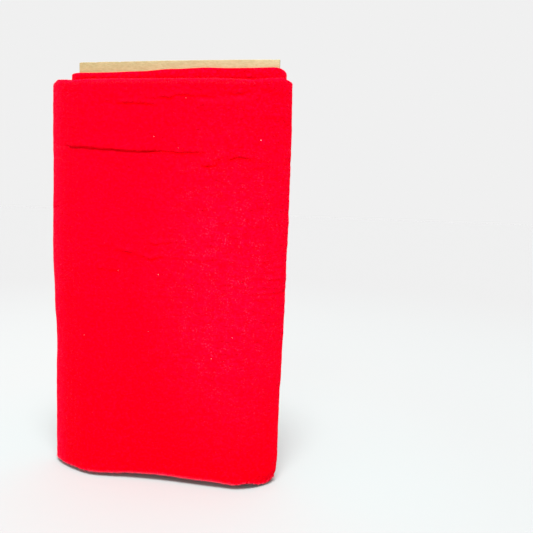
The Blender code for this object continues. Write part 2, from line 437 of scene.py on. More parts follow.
def oval_place(stretch, depth):
    """x and y on an oval, in millimetres. Depth counts turns inwards from the outer face."""
    stretch, depth = np.broadcast_arrays(np.asarray(stretch, float), np.asarray(depth, float))
    row = np.clip(depth.astype(int), 0, TURNS - 1)
    share = np.clip(depth - row, 0, 1)[..., None]
    oval = OVALS[row] * (1 - share) + OVALS[row + 1] * share
    left, right, half, left_round, right_round, full = np.moveaxis(oval, -1, 0)
    low, high = left + left_round, right - right_round
    which = np.minimum(stretch.astype(int), 4)
    t = stretch - which
    bow = 1 - np.abs(2 * t - 1)
    end_x, end_y = bezier(0, full, 1, 1, bow), half * bezier(1, 1, full, 0, bow)
    x = np.choose(which, [
        CUT_END_X + (low - CUT_END_X) * t,
        low - left_round * end_x,
        low + (high - low) * t,
        high + right_round * end_x,
        high + (CUT_END_X - high) * t,
    ])
    left_y, right_y = np.where(t < 0.5, end_y, -end_y), np.where(t < 0.5, -end_y, end_y)
    return x, np.choose(which, [half, left_y, -half, right_y, half])


print("turns of cloth:", TURNS)

# %% [markdown]
# ## Uneven edges and swells
# Hand-wound cloth is never quite even. Its edges could be bent by random noise alone, but this bolt has its
# own run of dips and rises, so they are read off the real one into tables: how high the top and bottom edges
# run along the front, how the sides wander with height, and where the face swells or sinks. A short
# function reads a table at any place and eases from row to row.

# %% Tables of the edges
#    x, height
OUTER_TOP = [
    (-122, 400.0), (-117, 400.5), (-111, 402.2), (-105, 400.6), (-98, 400.0), (-93, 398.9), (-40, 399.3),
    (48, 399.4), (78, 398.4), (86, 397.8), (99, 399.8), (107, 401.6), (115, 403.6), (122, 402.5)]
INNER_TOP = [
    (-101, 408.0), (-92, 407.8), (-75, 407.6), (-21, 408.7), (8, 410.7), (45, 411.7), (73, 411.1),
    (108, 411.6), (116, 411.4)]
FOOT = [
    (-122, 6.2), (-112, 5.2), (-104, 3.9), (-95, 4.1), (-88, 4.3), (-82, 3.4), (-76, 3.5), (-70, 4.1),
    (-60, 4.1), (-49, 4.5), (-24, 6.1), (2, 6.6), (33, 6.0), (57, 6.1), (79, 5.2), (87, 4.8), (95, 6.8),
    (101, 6.0), (105, 4.9), (110, 2.9), (116, 3.0), (122, 9.6)]
OUTER_TOP_BEHIND = 398.8
INNER_TOP_BEHIND = 408.6
CLOTH_HEIGHT = 393.0
#    height, left out, right out
SIDES = [
    (0, 0.2, -6.4), (6, 0.3, -4.4), (14, 0.4, -2.3), (26, 0.5, -1.7), (80, 0.4, -1.5), (135, -0.9, -0.6),
    (180, 1.2, 0.0), (225, 2.1, 0.6), (270, 1.8, 1.0), (340, 0.9, 1.1), (398, 0.0, 0.2)]
#    x, height, half width, half height, out
SWELLS = [(-62, 0, 24, 70, 3.2), (5, 0, 38, 55, -1.4), (60, 215, 60, 130, 1.6), (-60, 366, 55, 20, 0.9)]


def along(rows, x, column=1):
    """A table's column at x, eased from row to row."""
    rows = np.asarray(rows, float)
    at = np.clip(x, rows[0, 0], rows[-1, 0])
    i = np.clip(np.searchsorted(rows[:, 0], at, side="right") - 1, 0, len(rows) - 2)
    t = smooth((at - rows[i, 0]) / (rows[i + 1, 0] - rows[i, 0]))
    return rows[i, column] * (1 - t) + rows[i + 1, column] * t


print("hem above the floor, mm:", min(height for x, height in FOOT), "to", max(height for x, height in FOOT))

# %% [markdown]
# ## Creases
# Where the cloth was gathered as it was wound, it keeps creases: short pinches that run across the face,
# with a small lip of cloth above and a soft trough below. A cloth simulation would make creases of its own,
# in other places. These are known, so each is a line of points with its depth, and the mesh is moved along
# it. A crease fades out at both ends, and its depth is a little uneven on the way.

# %% Tables of the creases
#    half width of the trough, height of the lip, then (x, height, depth) points
CREASES = {
    "ripple start": (1.5, 0.3, [
        (39, 319, 0.0), (42, 318.8, 0.6), (47.5, 318.4, 0.7), (53, 318.7, 0.8), (56.2, 320, 0.8),
        (57.5, 322.8, 0.8), (59, 326.5, 0.7), (62, 327.5, 0.4), (65, 327.8, 0.0)]),
    "under ripple": (1.7, 0.3, [(84, 318, 0.0), (92, 317.4, 0.4), (104, 318.6, 0.4), (112, 318, 0.0)]),
    "upper left": (1.6, 0.3, [
        (-60, 378.6, 0.0), (-55, 378.0, 0.4), (-46, 377.0, 0.3), (-40, 376.3, 0.7), (-29, 376.3, 0.8),
        (-19, 376.3, 0.8), (-12, 375.5, 0.9), (-4, 374.6, 0.6), (2, 374.2, 0.0)]),
    "upper": (1.5, 0.3, [
        (-9, 380, 0.0), (-1.5, 381.5, 0.5), (5.4, 381.9, 0.9), (9.3, 380.6, 0.9), (16, 383.8, 0.6),
        (25, 384.2, 0.7), (34.5, 382.9, 0.5), (41, 383.4, 0.6), (51, 382, 0.5), (58, 382, 0.0)]),
    "upper right": (1.5, 0.3, [
        (64, 386, 0.0), (67, 385.6, 0.4), (73.5, 384.3, 0.5), (79, 384.8, 0.6), (85, 387.4, 0.4),
        (88, 388.4, 0.0)]),
    "ridge under upper": (3.0, 0.3, [
        (30, 379, 0.0), (46, 379, -0.5), (64, 379.4, -0.6), (82, 381.5, -0.5), (96, 383, 0.0)]),
    "shoulder": (2.2, 0.3, [
        (84, 363, 0.0), (92, 362.6, 0.4), (104, 364.4, 0.35), (112, 363.6, 0.4), (119, 363.6, 0.0)]),
    "shoulder high": (2.4, 0.3, [(90, 390, 0.0), (99, 389.4, 0.45), (109, 388, 0.4), (117, 388, 0.0)]),
    "middle left": (1.8, 0.4, [
        (-47, 235.6, 0.0), (-44, 235.4, 0.4), (-37, 234.7, 0.5), (-30.7, 233, 0.6), (-23.4, 231.9, 0.4),
        (-16, 229.8, 0.4), (-8, 227.2, 0.6), (-2, 229, 0.8), (1, 230.6, 0.6), (12, 229.7, 0.35),
        (22, 230.1, 0.3), (32, 229.7, 0.35), (39, 228.1, 0.45), (44.4, 227.3, 0.45), (50, 229.1, 0.35),
        (58, 230.4, 0.3), (64, 231.8, 0.0)]),
    "middle": (1.6, 0.4, [
        (-12, 244.4, 0.0), (-10, 244.2, 0.3), (-3, 242.1, 0.6), (3, 243.4, 0.6), (7, 244, 0.5),
        (14, 245.3, 0.3), (18, 246, 0.0)]),
    "left faint": (1.6, 0.3, [(-62, 238.6, 0.0), (-59, 238.6, 0.3), (-47, 239.2, 0.3), (-43, 239.3, 0.0)]),
    "low left": (1.7, 0.3, [
        (-64, 216, 0.0), (-60, 215.7, 0.5), (-50, 214.8, 0.4), (-41, 214.7, 0.5), (-37, 214.8, 0.0)]),
    "right 1": (1.2, 0.8, [
        (94, 214.6, 0.0), (98, 214.2, 0.4), (106, 213.2, 0.4), (109, 212.2, 0.7), (121, 212.8, 0.6)]),
    "right 2": (1.2, 0.6, [(72, 215.6, 0.0), (75, 215.7, 0.4), (83, 216.1, 0.4), (86, 216.0, 0.0)]),
    "right 3": (1.2, 0.6, [(80, 210.9, 0.0), (83, 211.0, 0.6), (90, 211.4, 0.5), (94, 211.6, 0.0)]),
    "right 4": (1.2, 0.8, [
        (64, 206.2, 0.0), (67, 206.2, 0.35), (73, 206.6, 0.35), (80, 205.0, 0.3), (82, 204.2, 0.5),
        (97, 205.0, 0.5), (100, 205.0, 0.0)]),
    "right 5": (1.2, 0.6, [
        (95, 203.0, 0.0), (98, 202.9, 0.6), (106.5, 203.4, 0.5), (113, 202.4, 0.5), (120, 201.6, 0.4)]),
    "right 6": (1.2, 0.8, [
        (86, 198.2, 0.0), (92, 198.2, 0.3), (102, 198.6, 0.5), (116, 199.1, 0.6), (121, 198.8, 0.2)]),
    "right 7": (1.2, 0.6, [(95, 193.1, 0.0), (100, 193.1, 0.6), (107, 193.5, 0.5), (112, 193.6, 0.0)]),
    "right 8": (1.2, 0.6, [(108, 224.8, 0.0), (112, 224.9, 0.6), (120, 225.4, 0.5)]),
    "right 9": (1.2, 0.6, [(102, 219.8, 0.0), (105, 219.8, 0.6), (112, 220.2, 0.5), (116, 220.4, 0.0)]),
}
print("creases:", ", ".join(CREASES))

# %% Relief of the creases
CREASE_DEPTH = 0.75


def bell(distance, half_width):
    return np.exp(-((distance / half_width) ** 2))


def noise_field(x, y, z, size, high=1.0, shift=0.0):
    """Smooth noise up to about high, with blotches of (x, y, z) size. Another shift gives another noise."""
    spots = np.stack(np.broadcast_arrays(x / size[0], y / size[1], (z + shift) / size[2]), -1)
    return high * np.array([noise.noise(Vector(p)) for p in spots.reshape(-1, 3)]).reshape(spots.shape[:-1])


def crease_relief(x, z):
    """How far the creases move the face out, in millimetres: below 0 in a trough, above 0 on a lip."""
    out = np.zeros_like(x)
    for half_width, lip, line in CREASES.values():
        above = z - along(line, x)
        depth = CREASE_DEPTH * along(line, x, column=2) * (x > line[0][0]) * (x < line[-1][0])
        depth = depth * (1 + noise_field(x, line[0][1], 0, (5, 1, 1), high=0.5))
        trough = np.where(above > 0, bell(above, half_width * 0.75), bell(above, half_width))
        out += depth * (lip * bell(above - half_width * 1.7, half_width * 1.6) - trough)
    return out


in_upper_crease = crease_relief(np.array([8.0]), np.array([381.1]))[0]
print("upper crease at x 8, mm:", round(in_upper_crease, 2))

# %% [markdown]
# ## Crinkles
# Between the creases the cloth has small crinkles, a few millimetres apart and a fraction of a millimetre
# high. There are far too many to trace one by one, so they are smooth noise at two sizes, wider than tall,
# since the cloth was pulled sideways as it was wound. They are strongest on the right of the face. On the
# bump of a finish they would stay flat from the side, and in the mesh they catch the light as shape.

# %% Relief of the outer face
CALM_SHARE, BUSY_SHARE = 0.5, 0.7
BUSY_ACROSS, BUSY_UP = (-5, 60), (110, 220)
#    x, height, half width, half height, how much busier
BUSY_PATCHES = [(-25, 230, 60, 20, 0.3), (-40, 374, 60, 14, 0.3)]
GATHERED_ACROSS = (50, 95)
GATHERED_HEIGHT, GATHERED_HALF = 210, 20


def crinkle_relief(x, y, z):
    """Winding troughs between puffs of cloth, a little wider than tall."""
    busy = CALM_SHARE + BUSY_SHARE * eased(x, *BUSY_ACROSS) * eased(z, *BUSY_UP)
    busy = busy + sum(more * bell(x - bx, w) * bell(z - bz, h) for bx, bz, w, h, more in BUSY_PATCHES)
    wide = noise_field(x, y, z, (15, 15, 8.0), high=0.26)
    fine = noise_field(x + 300, y, z, (8.0, 8.0, 5.2), high=0.20)
    gathered = eased(x, *GATHERED_ACROSS) * bell(z - GATHERED_HEIGHT, GATHERED_HALF)
    return busy * (wide + fine) + gathered * noise_field(x, y, z, (7, 7, 1.9), high=0.22, shift=500)


def face_relief(x, y, z, front):
    """How far the outer ply stands out of its plain oval, in millimetres, and its painted light: painted
    shade in troughs, painted highlight on lips.
    """
    swell = sum(out * bell(x - sx, w) * bell(z - sz, h) for sx, sz, w, h, out in SWELLS)
    slack = noise_field(x, y, z, (60, 40, 75), high=0.55, shift=700)
    edge = noise_field(x, y, z, (20, 20, 14), high=0.35, shift=90)
    creases = front * crease_relief(x, z)
    crinkles = crinkle_relief(x, y, z)
    # Painted shade in the troughs, painted highlight on the lips.
    painted_light = eased(creases, 0, -0.5) - 0.5 * eased(creases, 0, 0.35) + 0.5 * eased(crinkles, 0, -0.4)
    return front * swell + creases + crinkles + slack + edge, painted_light


sample = face_relief(np.linspace(-90, 90, 37), -26.0, np.full(37, 200.0), 1.0)[0]
print("relief across the face at half height, mm:", round(sample.min(), 2), "to", round(sample.max(), 2))

# %% [markdown]
# ## The long pinch
# High on the left a fold of cloth was nipped when the turn was pulled tight. The cloth above it hangs over
# as a small lip, and the cloth below starts in the groove behind that lip. A groove drawn in the colour
# alone would vanish from the side, so this is a real overhang. One table gives the line of the pinch and of
# the ripple that follows it on the right. The other gives its section for a depth of one millimetre.

# %% The pinch
#    x, height and depth along the line
PINCH = [
    (-95.5, 335.6, 0.0), (-93, 335.5, 2.2), (-89, 335.1, 3.2), (-83, 334.9, 3.0), (-76, 335.2, 3.4),
    (-68, 334.4, 3.2), (-58, 333.6, 3.0), (-48, 333.9, 3.5), (-43, 333.1, 3.1), (-29, 332.3, 3.1),
    (-14, 332.0, 2.8), (-6, 332.2, 1.5), (4, 332.0, 0.45), (11, 331.4, 0.3), (20, 330.5, 0.45),
    (30, 330.7, 0.4), (38, 331.0, 0.3), (43, 331.0, 0.1), (49, 330.0, 0.0), (56, 326.4, 0.0),
    (63, 323.6, 0.0), (66.5, 324.0, 0.15), (70, 325.4, 0.35), (74, 326.9, 0.6), (78, 327.4, 0.6),
    (83.5, 326.6, 0.5), (89, 325.3, 0.3), (97, 324.6, 0.15), (104, 323.4, 0.15), (112, 323.0, 0.1),
    (117, 323.0, 0.0)]
PINCH_LEVEL = 331.0
PINCH_DRAW = 24.0
#    from the line, down, out
PINCH_SECTION = np.array([
    [-9.0, 0.0, 0.0], [-5.0, 0.02, -0.03], [-3.0, 0.06, -0.08], [-1.6, 0.08, -0.22], [-0.9, 0.04, -0.60],
    [-0.4, 0.0, -1.50], [0.1, -0.14, -1.40], [0.5, -0.42, -0.15], [1.0, -0.46, 0.26], [1.8, -0.34, 0.34],
    [4.0, -0.12, 0.24], [8.0, 0.0, 0.06], [14.0, 0.0, 0.0],
])


def pinch_shift(x, z):
    """How far the pinch moves the face out and up, in millimetres, and how much painted shadow lies in its
    groove.
    """
    from_line = z - along(PINCH, x)
    depth = along(PINCH, x, column=2) * (1 + noise_field(x, 0, 0, (6, 1, 1), high=0.35))
    up = np.interp(from_line, PINCH_SECTION[:, 0], PINCH_SECTION[:, 1])
    out = np.interp(from_line, PINCH_SECTION[:, 0], PINCH_SECTION[:, 2])
    # How much painted shadow lies in the groove.
    groove = (np.clip(2.5 * depth, 0, 1) + 0.8 * np.clip(depth - 1, 0, 1)) * bell(from_line + 0.4, 1.5)
    return depth * out, depth * up, groove


print("pinch groove, mm:", round(float(pinch_shift(np.array([-60.0]), np.array([332.2]))[0][0]), 2))

# %% [markdown]
# ## One turn's section: the cloth folded in four
# A wide flannel is folded in half and in half again before it is wound, so a turn is four plies thick. A
# thick strip could stand for all four, but it would show a closed, rounded top where the real one shows a
# fold inside a fold. Followed up its section, the cloth climbs the outer face, bends over in a wide arch,
# runs down the inner face, turns up again, bends over inside the first arch, and comes down to its second
# cut edge. That path is written as rows of ply, height share and rise, where ply 0 is the outermost and 3
# the innermost, and a rise is counted in plies.

# %% Section of the fold
PLY_THICK = 0.7


def ply_rows(ply, shares):
    return [(ply, share, 0.0) for share in shares]


def bend_rows(start, end, share, steps, bulge, rise=0.0):
    """Rows round a bend from one ply to another, which bulges up, or down where bulge is below 0."""
    centre, radius = (start + end) / 2, (start - end) / 2
    angles = [math.pi * i / steps for i in range(steps + 1)]
    return [(centre + radius * math.cos(a), share, rise + bulge * math.sin(a)) for a in angles]


def fold_section(face_shares, hidden_rows):
    """Rows of (ply, share of the height between foot and top, rise) up and down the folded section."""
    down = np.linspace(1, 0, hidden_rows)[1:-1]
    rows = ply_rows(0.0, face_shares)
    rows += bend_rows(0.0, 3.0, share=1.0, steps=7, bulge=1.5)
    rows += ply_rows(3.0, down)
    rows += bend_rows(3.0, 2.0, share=0.0, steps=3, bulge=-0.5)
    rows += ply_rows(2.0, down[::-1])
    rows += bend_rows(2.0, 1.0, share=1.0, steps=3, bulge=0.5, rise=0.35)
    rows += ply_rows(1.0, down)
    return np.array(rows + [(1.0, 0.0, 0.0)])


print("rows in a plain section:", len(fold_section(np.linspace(0, 1, 10), 6)))

# %% [markdown]
# ## Where each turn's edges run
# The cloth starts at the board and winds outwards to its cut end on the back. Along each turn it keeps to
# its own oval, and it climbs to the next one over the right end, where the turn before it lies. The inner
# turns stand higher than the outermost one, so the height of the edges changes on that climb too. Both
# follow from a single eased share, so that the cloth stays one unbroken sheet.

# %% Edges of a turn
CLIMB_FROM = 3.5
TOP_DROPS = (0.0, 1.4, 0.0, 0.6)
SIDE_MIDDLE, SIDE_REACH = 2.0, 116.0
FOOT_GAP = 0.3


def climb(stretch):
    """From 0 to 1 as a turn passes over the right end to the next oval in."""
    return eased(stretch, CLIMB_FROM, 5)


def with_wander(x, z, depth):
    """x with the side edges' wander, which fades towards the inner turns."""
    outer = np.clip(1 - depth / 2, 0, 1)
    sideways = eased(np.abs(x - SIDE_MIDDLE), 0, SIDE_REACH)
    return x + outer * sideways * np.where(x > SIDE_MIDDLE, along(SIDES, z, column=2), -along(SIDES, z))


def edge_heights(x, y, front, turn, stretch):
    """Foot and top of the cloth at a place of a turn."""
    outer = OUTER_TOP_BEHIND + (along(OUTER_TOP, x) - OUTER_TOP_BEHIND) * front
    inner = INNER_TOP_BEHIND + (along(INNER_TOP, x) - INNER_TOP_BEHIND) * front
    high = np.clip(turn - 1 + climb(stretch) * (turn == 1), 0, 1)
    top = outer * (1 - high) + inner * high - TOP_DROPS[turn]
    lifted = along(FOOT, x) * front * (1 - 0.3 * min(turn, 1))
    foot = lifted * (1 - high) + (top - CLOTH_HEIGHT) * high + FOOT_GAP
    wave = noise_field(x, y, 40.0 * turn, (26, 26, 9), high=0.35)
    return foot + np.abs(wave) * 0.4 + PLY_THICK / 2, top + wave - PLY_THICK / 2


print("height drop of each turn's top, mm:", TOP_DROPS)

# %% [markdown]
# ## Winding the cloth
# A turn is a grid: its columns are places along the oval, and its rows follow the folded section. For every
# column, the plies are set inwards from the outer oval towards the next one, so they close up where the
# turns are tight and part where they are slack. Blender could extrude the section along a curve, but then
# every column would be alike. Worked out place by place, each one gets its own edges, creases and dents.

# %% Places of one turn
WIDEST_PLY = 1.05
TURN_GAP = 0.35
LAST_PLY_SPACE = 0.8
SLACK_SHARE = 0.8
FACE_PLY = 0.1
TOP_BEND_PLY = 1.6
FRONT_MIDDLE = 2.5
CUT_END_REACH = 0.04
# Each pair says where a zone starts and where it is full: from the top and above the floor in millimetres,
# and then as shares of the cloth's height.
DENTED = (-40, -10)
SHADED, DEEPER_SHADE = (405, 399), (402.5, 400)
HIGHLIGHT_TOP, HIGHLIGHT_FOOT = (0.9935, 0.9985), (0.006, 0.002)
FREE_AT_FOOT, FREE_AT_TOP = (0, 0.06), (1, 0.94)


def creased_face(stretches, x, y, z, which, front):
    """The outermost turn with its uneven side, pinch and creases: x, z, how far out, and its painted light.
    """
    facing = which < FACE_PLY
    wander = noise_field(0, 3, z, (1, 1, 38), high=1.6) + noise_field(0, 9, z, (1, 1, 7), high=0.3)
    x = x + wander * bell(stretches[:, None], CUT_END_REACH)
    z = z + front * (along(PINCH, x) - PINCH_LEVEL) * bell(z - PINCH_LEVEL, PINCH_DRAW) * facing
    pinch_out, pinch_up, groove = pinch_shift(x, z)
    z = z + front * pinch_up * facing
    relief, painted_light = face_relief(x, y, z, front)
    out = relief * np.clip(1 - which / 3, 0, 1) + front * pinch_out * facing
    return x, z, out, facing * (painted_light + front * groove)


def dented_top(turn, x, y, z, which, top):
    """How far an inner turn's upper edge is dented out, and its painted shade: deeper red down between the
    turns.
    """
    dents = noise_field(x, y, z, (14, 14, 7), high=0.5, shift=60 * turn)
    out = dents * eased(z - top[:, None], *DENTED) * np.clip(1 - which / 3, 0, 1)
    # Painted shade, deeper down between the turns.
    shaded = 0.7 * eased(z, *SHADED) + 0.7 * eased(z, *DEEPER_SHADE)
    return out, (which < FACE_PLY) * shaded * (1 + noise_field(x, y, z, (9, 9, 3), high=0.7))


def edge_highlights(turn, which, share):
    """Painted highlight on the fold at the top, and along the foot of the face."""
    top_fold = (0.6 if turn == 0 else 0.2) * eased(share, *HIGHLIGHT_TOP) * (which < TOP_BEND_PLY)
    return top_fold + 0.7 * eased(share, *HIGHLIGHT_FOOT) * (which < FACE_PLY)


# %% One turn
def turn_of_cloth(turn, stretches, section):
    """One turn, as columns by rows by x, y, z and painted light: 1 for painted shade in a crease, 2 for
    painted shadow in the pinch, -1 for a painted highlight on an edge.
    """
    depth = turn + climb(stretches)
    x0, y0 = oval_place(stretches, depth)
    x1, y1 = oval_place(stretches, np.minimum(depth + 1, TURNS))
    pitch = np.hypot(x1 - x0, y1 - y0)
    in_x, in_y = ((x1 - x0) / pitch)[:, None], ((y1 - y0) / pitch)[:, None]
    half = np.abs(oval_place(FRONT_MIDDLE, depth)[1])
    front = smooth(0.5 - y0 / (2 * half))
    foot, top = edge_heights(x0, y0, front, turn, stretches)
    ply = np.minimum(WIDEST_PLY, (pitch - TURN_GAP) / 4)
    slack = np.maximum(0, pitch - LAST_PLY_SPACE - 3 * ply) * SLACK_SHARE
    which, share, rise = section.T
    z = foot[:, None] + (top - 1.5 * ply - foot)[:, None] * share + ply[:, None] * rise
    hidden = np.clip(which, 0, 1) * eased(share, *FREE_AT_FOOT) * eased(share, *FREE_AT_TOP)
    inset = PLY_THICK / 2 + which * ply[:, None] + hidden * slack[:, None]
    x = x0[:, None] + in_x * inset
    y = y0[:, None] + in_y * inset
    if turn == 0:
        x, z, out, painted_light = creased_face(stretches, x, y, z, which, front[:, None])
    else:
        out, painted_light = dented_top(turn, x, y, z, which, top)
    x, y = x - in_x * out, y - in_y * out
    painted_light = np.clip(painted_light, -1, 2) - edge_highlights(turn, which, share)
    return np.stack([with_wander(x, z, depth[:, None]), y, z, painted_light], -1)


trial = turn_of_cloth(2, np.linspace(0, 4.9, 60), fold_section(np.linspace(0, 1, 10), 6))
print("third turn spans, mm:", np.ptp(trial.reshape(-1, 4)[:, :3], 0).round(1))

# %% [markdown]
# ## From places to cloth
# A grid of places becomes a mesh of four-sided faces. The cloth could be left as thin as paper, but its cut
# edges would then vanish from the side, so Solidify gives it the thickness of flannel. The place of each
# vertex in the flat cloth, in metres along and across, is kept as an attribute for the weave in the finish.
# So is its painted light: painted shade in creases, in the pinch and between the turns, and painted highlight
# on crease lips and fold edges.

# %% Cloth mesh
def flat_places(grid):
    """How far each vertex is along and across the unfolded cloth, in millimetres."""
    steps_along = np.linalg.norm(np.diff(grid[:, :1, :3], axis=0), axis=-1)
    steps_across = np.linalg.norm(np.diff(grid[:1, :, :3], axis=1), axis=-1)
    run = np.concatenate([[0], np.cumsum(steps_along[:, 0])])
    rise = np.concatenate([[0], np.cumsum(steps_across[0])])
    return np.broadcast_to(run[:, None], grid.shape[:2]), np.broadcast_to(rise[None], grid.shape[:2])


def grid_faces(columns, rows):
    """The corners of every four-sided face of a grid."""
    index = np.arange(columns * rows).reshape(columns, rows)
    return np.stack([index[:-1, :-1], index[1:, :-1], index[1:, 1:], index[:-1, 1:]], -1).reshape(-1, 4)


def cloth_piece(name, grid):
    """A sheet of cloth through a grid of places, with its thickness, as one object."""
    corners = grid_faces(*grid.shape[:2])
    mesh = bpy.data.meshes.new(name)
    mesh.from_pydata(to_scene(grid[..., :3].reshape(-1, 3)).tolist(), [], corners.tolist())
    run, rise = flat_places(grid)
    places = np.stack([run, rise, np.zeros_like(run)], -1) * MM
    attribute = mesh.attributes.new("cloth_place", "FLOAT_VECTOR", "POINT")
    attribute.data.foreach_set("vector", places.astype(np.float32).ravel())
    attribute = mesh.attributes.new("cloth_painted_light", "FLOAT", "POINT")
    attribute.data.foreach_set("value", grid[..., 3].astype(np.float32).ravel())
    mesh.shade_smooth()
    mesh.materials.append(flannel)
    piece = add_object(name, mesh)
    thick = piece.modifiers.new("cloth thickness", "SOLIDIFY")
    thick.thickness = PLY_THICK * MM
    thick.offset = 0
    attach(piece, "root")
    size = (float(rise[0, -1]) * MM, float(run[-1, 0]) * MM)
    print(name, "has", len(corners), "faces; flat size, m:", [round(side, 3) for side in size])
    return piece, size


# %% [markdown]
# ## The inner turns
# Three turns lie under the outermost one, and only their folded tops show. They could end just below it, but
# then they would not be the whole sheet, and a look down between the folds would find the bolt empty. So they
# run all the way down, with columns and rows that are sparse in the middle and close near the top. The
# innermost turn starts at the board's right end.

# %% Inner turns
TURN_COLUMNS = ((26, 20, 34, 18, 14), (26, 18, 34, 16, 14), (26, 16, 34, 14, 14))
INNER_FACE_ROWS = np.concatenate([[0, 0.01, 0.03], np.linspace(0.1, 0.88, 8), np.linspace(0.92, 0.99, 9)])
HIDDEN_ROWS = 7
INNERMOST_START = 3.4


def stretch_columns(counts, until=5.0):
    """Places along a turn, with its own number of columns on each stretch."""
    parts = [np.linspace(i, i + 1, n, endpoint=False) for i, n in enumerate(counts)]
    places = np.concatenate(parts + [[5.0]])
    return places[places <= until]


inner_section = fold_section(INNER_FACE_ROWS, HIDDEN_ROWS)
inner_grid = np.concatenate([
    turn_of_cloth(1, stretch_columns(TURN_COLUMNS[0])[:-1], inner_section),
    turn_of_cloth(2, stretch_columns(TURN_COLUMNS[1])[:-1], inner_section),
    turn_of_cloth(3, stretch_columns(TURN_COLUMNS[2], until=INNERMOST_START), inner_section),
])
inner_turns, inner_size = cloth_piece("flannel_inner_turns", inner_grid)

# %% [markdown]
# ## The outermost turn
# This is the turn everyone sees. A mesh that is equally fine all over would be heavy, so its rows follow the
# face: every 2.5 mm low down, about 1 mm where it creases, and under half a millimetre at the line of the
# long pinch, so that the lip and its groove are real folds and not a painted line.

# %% Outermost turn
#    heights from, to and step, in millimetres above the foot
PLAIN_ROWS = [(3.6, 183, 2.5), (184.5, 212, 1.0), (212.4, 243, 1.1), (244.5, 305, 2.1), (305.5, 319.2, 0.95)]
UPPER_ROWS = [(336.2, 362, 1.9), (362.8, 391, 1.0)]
PINCH_ROW = 325.2
PINCH_ROWS = np.array([
    -5.5, -4.2, -3.1, -2.3, -1.6, -1.1, -0.7, -0.35, 0.0, 0.3, 0.6, 0.9, 1.2, 1.6, 2.2, 3.0, 4.2,
    5.6, 7.2, 9.0])
OUTER_COLUMNS = (18, 22, 84, 20, 12)


def face_rows():
    """Shares of the height for the rows of the outer face, close together where it creases."""
    plain = [np.arange(*span) for span in PLAIN_ROWS]
    upper = [np.arange(*span) for span in UPPER_ROWS]
    heights = np.concatenate([[0, 0.8, 2.0], *plain, PINCH_ROW + PINCH_ROWS, *upper, [391.6]])
    return heights / CLOTH_HEIGHT


outer_section = fold_section(face_rows(), HIDDEN_ROWS)
outer_grid = turn_of_cloth(0, stretch_columns(OUTER_COLUMNS), outer_section)
outer_turn, outer_size = cloth_piece("flannel_outer_turn", outer_grid)

# %% [markdown]
# ## The card's finish
# Plain card is pulped fibre: warm tan, matt, flecked with darker and lighter fibres that lie mostly along
# the sheet. Its cut edges show the pressed layers as thin lines. A scanned sheet of card could be laid on
# it, but would repeat or stretch. Noise that is drawn out along the sheet makes the fibres at their real
# size, and noise that is drawn out in two directions makes the layers.

# %% Card
CARD_DARK = (0.450, 0.375, 0.170, 1)
CARD_LIGHT = (0.565, 0.480, 0.245, 1)
# Painted light: the card is lighter towards the right.
CARD_LIT_RIGHT = (0.655, 0.615, 0.365, 1)
CARD_FLECK = (0.32, 0.235, 0.10, 1)
CARD_HAIR = (0.60, 0.53, 0.31, 1)
LIGHTER_FROM, LIGHTER_TO = -100 * MM, 130 * MM


def card_tan(f, place, fibres):
    """The card's colour: blotches of tan, lighter towards the right as painted light, then flecks, pale hairs
    and layers.
    """
    tone = f.plus(f.times(fibres, 0.75), f.times(f.noise(place, 0.018, detail=3.0), 0.25))
    flecks = f.ramp(f.noise(place, 0.0009, detail=2.0), 0.66, 0.74)
    hairs = f.ramp(f.noise(place, 0.0013, stretch=(2, 1, 1)), 0.64, 0.72)
    layers = f.ramp(f.noise(place, 0.0005, detail=1.0, stretch=(4000, 1, 4000)), 0.56, 0.62)
    tan = f.blend(f.ramp(tone, 0.35, 0.65), CARD_DARK, CARD_LIGHT)
    # Painted light: lighter towards the right.
    tan = f.blend(f.times(f.ramp(f.part(place, 0), LIGHTER_FROM, LIGHTER_TO), 0.85), tan, CARD_LIT_RIGHT)
    tan = f.blend(f.times(f.ramp(tone, 0.56, 0.40), 0.35), tan, CARD_DARK)
    tan = f.blend(f.times(flecks, 0.6), tan, CARD_FLECK)
    tan = f.blend(f.times(hairs, 0.5), tan, CARD_HAIR)
    return f.blend(f.times(layers, 0.3), tan, CARD_FLECK)


def make_card():
    f = Finish("brown card", roughness=0.85, specular=0.2)
    place = f.place()
    fibres = f.noise(place, 0.0011, detail=4.0, stretch=(3.5, 1, 1))
    f.shade(Base_Color=card_tan(f, place, fibres), Normal=f.bump(fibres, distance=0.0003, strength=0.5))
    return f.material


card = make_card()
print("finish:", card.name, "with", len(card.node_tree.nodes), "nodes")

# %% [markdown]
# ## The board
# The board is stiff tan card, cut with a guillotine: straight, with a nick or two along the edge that is
# handled. A box with a Bevel has soft corners but a top edge as true as a ruler. So the section, a thin
# upright with softened corners, is repeated along the board, and each copy is as tall as the edge is there.

# %% Board
#    x, drop, half width
NICKS = [
    (-93.5, 0.5, 1.0), (-76, 0.45, 1.4), (-50.5, 0.55, 0.8), (-20, 0.15, 5.0), (52, 0.15, 8.0),
    (104, 0.2, 2.0)]
#    x, height
BOARD_TOP = [(-94, 420.5), (-60, 420.9), (0, 421.6), (60, 421.9), (110, 421.7)]
CARD_ROUND = 0.45
SIDE_HEIGHTS = (0.0, 60.0, 200.0, 340.0, 405.0)
END_ROUND = 0.3
BOARD_SECTIONS = 180


def board_section(top, inset):
    """Places (y, z) round the board's section, with rounded upper edges."""
    half = BOARD_THICK / 2 - inset
    side = [(half, z) for z in SIDE_HEIGHTS]
    for angle in np.linspace(math.pi / 2, 0, 4):
        side.append((half - CARD_ROUND * (1 - math.sin(angle)), top - CARD_ROUND * (1 - math.cos(angle))))
    return side + [(-y, z) for y, z in reversed(side)]


